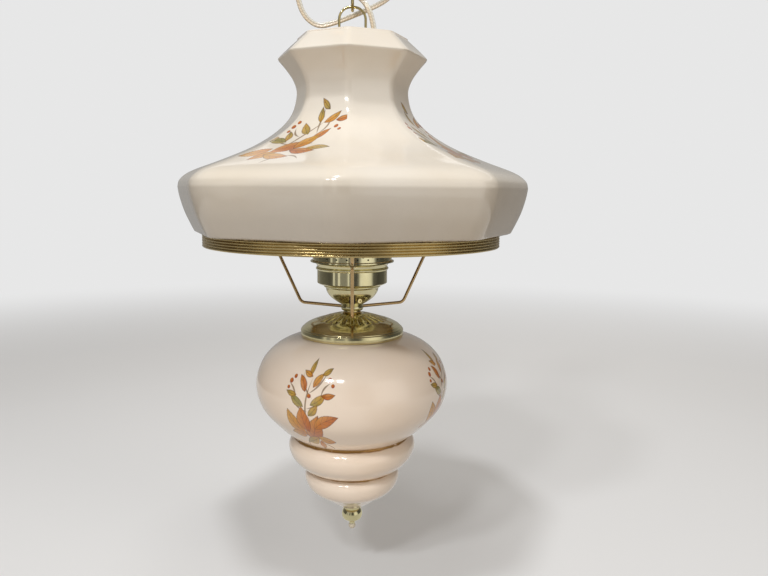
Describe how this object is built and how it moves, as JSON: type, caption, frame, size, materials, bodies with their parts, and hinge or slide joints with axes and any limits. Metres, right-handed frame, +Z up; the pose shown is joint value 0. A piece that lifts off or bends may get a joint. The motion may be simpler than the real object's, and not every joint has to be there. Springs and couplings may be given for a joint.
{
  "type": "hanging lamp",
  "caption": "Swag-style hanging lamp: octagonal glazed shade on a ribbed brass ring, burner-style gallery with chimney, round ceramic font with finial, on a chain with a coiled clear cord.",
  "frame": {"origin": "On the hook's axis, in the plane of the ceiling that the hook's flange bears on.", "axes": "+Z up, -Y the front of the lamp, +X to the right seen from the front."},
  "size_m": [0.3568, 0.3568, 0.7691],
  "materials": {
    "shade_glaze": "glossy ivory glaze with leaf sprigs on every other facet",
    "font_glaze": "glossy blush-cream glaze with leaf sprigs and gold lines in the grooves",
    "brass_polished": "polished and lacquered, a little dulled",
    "contact_brass": "plain pressed brass",
    "pipe_steel": "zinc-plated steel",
    "clip_steel": "brass-plated spring clips",
    "chimney_glass": "clear",
    "bulb_glass": "frosted",
    "bulb_base_metal": "bare screw base",
    "liner_card": "insulating card",
    "core_plastic": "moulded black",
    "bushing_plastic": "dark brown moulded bushing",
    "cord_clear_gold": "clear gold flat twin flex, one conductor copper and one tinned",
    "tie_plastic": "soft ivory tie",
    "plug_plastic": "moulded, clear gold",
    "tip_ceramic": "small pale ball"
  },
  "bodies": {
    "ceiling": {"ceiling_hook": "brass_polished"},
    "chain": {"chain_link_1": "brass_polished", "chain_link_2": "brass_polished", "chain_link_3": "brass_polished", "chain_link_4": "brass_polished", "chain_link_5": "brass_polished", "cord_coil": "cord_clear_gold", "cord_tail": "cord_clear_gold", "coil_tie": "tie_plastic", "plug_tie": "tie_plastic", "plug_body": "plug_plastic", "plug_blades": "contact_brass"},
    "chimney": {"chimney": "chimney_glass"},
    "bulb": {"bulb_glass": "bulb_glass", "bulb_base": "bulb_base_metal"},
    "finial": {"finial": "brass_polished", "finial_tip": "tip_ceramic"},
    "lamp": {"top_bail": "brass_polished", "top_hub": "brass_polished", "hub_nuts": "brass_polished", "bail_nuts": "brass_polished", "hub_bushing": "bushing_plastic", "shade": "shade_glaze", "shade_ring": "brass_polished", "frame_wire_1": "brass_polished", "frame_wire_2": "brass_polished", "frame_wire_3": "brass_polished", "ring_nuts_upper": "brass_polished", "ring_nuts_lower": "brass_polished", "arm_hub": "brass_polished", "burner_cup": "brass_polished", "bowl_bushing": "bushing_plastic", "bowl_screw": "brass_polished", "burner_gallery": "brass_polished", "socket_cap": "brass_polished", "socket_shell": "brass_polished", "socket_liner": "liner_card", "socket_core": "core_plastic", "screw_shell": "contact_brass", "neck_spacer": "brass_polished", "vase_cap": "brass_polished", "font": "font_glaze", "font_plate": "pipe_steel", "centre_pipe": "pipe_steel", "lock_nut": "pipe_steel", "foot_washer": "brass_polished", "cord_inner": "cord_clear_gold", "cord_clips": "clip_steel", "cord_rise": "cord_clear_gold"}
  },
  "joints": [
    {"name": "chain_swing", "type": "hinge", "parent": "ceiling", "child": "chain", "pos_m": [0, 0, -0.0496], "axis": [1, 0, 0], "range_deg": [-15, 15]},
    {"name": "lamp_swing", "type": "hinge", "parent": "chain", "child": "lamp", "pos_m": [0, 0, -0.2079], "axis": [0, 1, 0], "range_deg": [-15, 15], "deforming": ["cord_rise", "cord_tail"]},
    {"name": "chimney_lift", "type": "slide", "parent": "lamp", "child": "chimney", "axis": [0, 0, 1], "range_m": [0, 0.02]},
    {"name": "bulb_turn", "type": "hinge", "parent": "lamp", "child": "bulb", "pos_m": [0, 0, -0.46], "axis": [0, 0, 1], "continuous": true},
    {"name": "finial_turn", "type": "hinge", "parent": "lamp", "child": "finial", "pos_m": [0, 0, -0.72], "axis": [0, 0, 1], "continuous": true}
  ]
}
